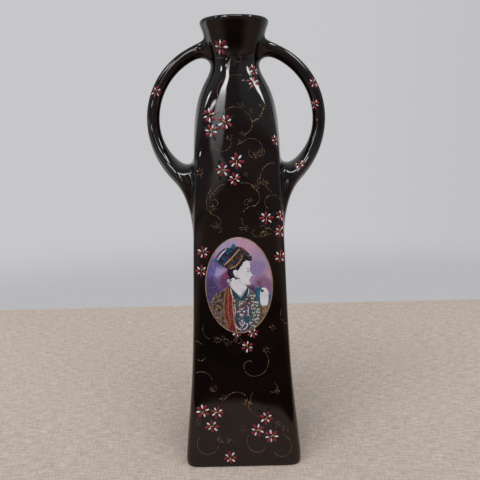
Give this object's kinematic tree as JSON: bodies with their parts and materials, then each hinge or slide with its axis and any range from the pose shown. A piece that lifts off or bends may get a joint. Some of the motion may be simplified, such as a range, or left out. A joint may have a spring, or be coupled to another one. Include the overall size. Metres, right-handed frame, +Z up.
{
  "type": "openwork handled vase",
  "caption": "Tall glazed vase with a square foot, a round flared mouth, two openwork loop handles, a painted oval portrait and scattered flowers.",
  "frame": {"origin": "middle of the underside, on the plane of the foot rim", "axes": "+Z up through the mouth, +X and -X through the two handles, -Y towards the viewer of the painted portrait"},
  "size_m": [0.1414, 0.0946, 0.3509],
  "materials": {
    "glaze": "gloss"
  },
  "bodies": {
    "root": {"vase": "glaze"}
  },
  "joints": []
}
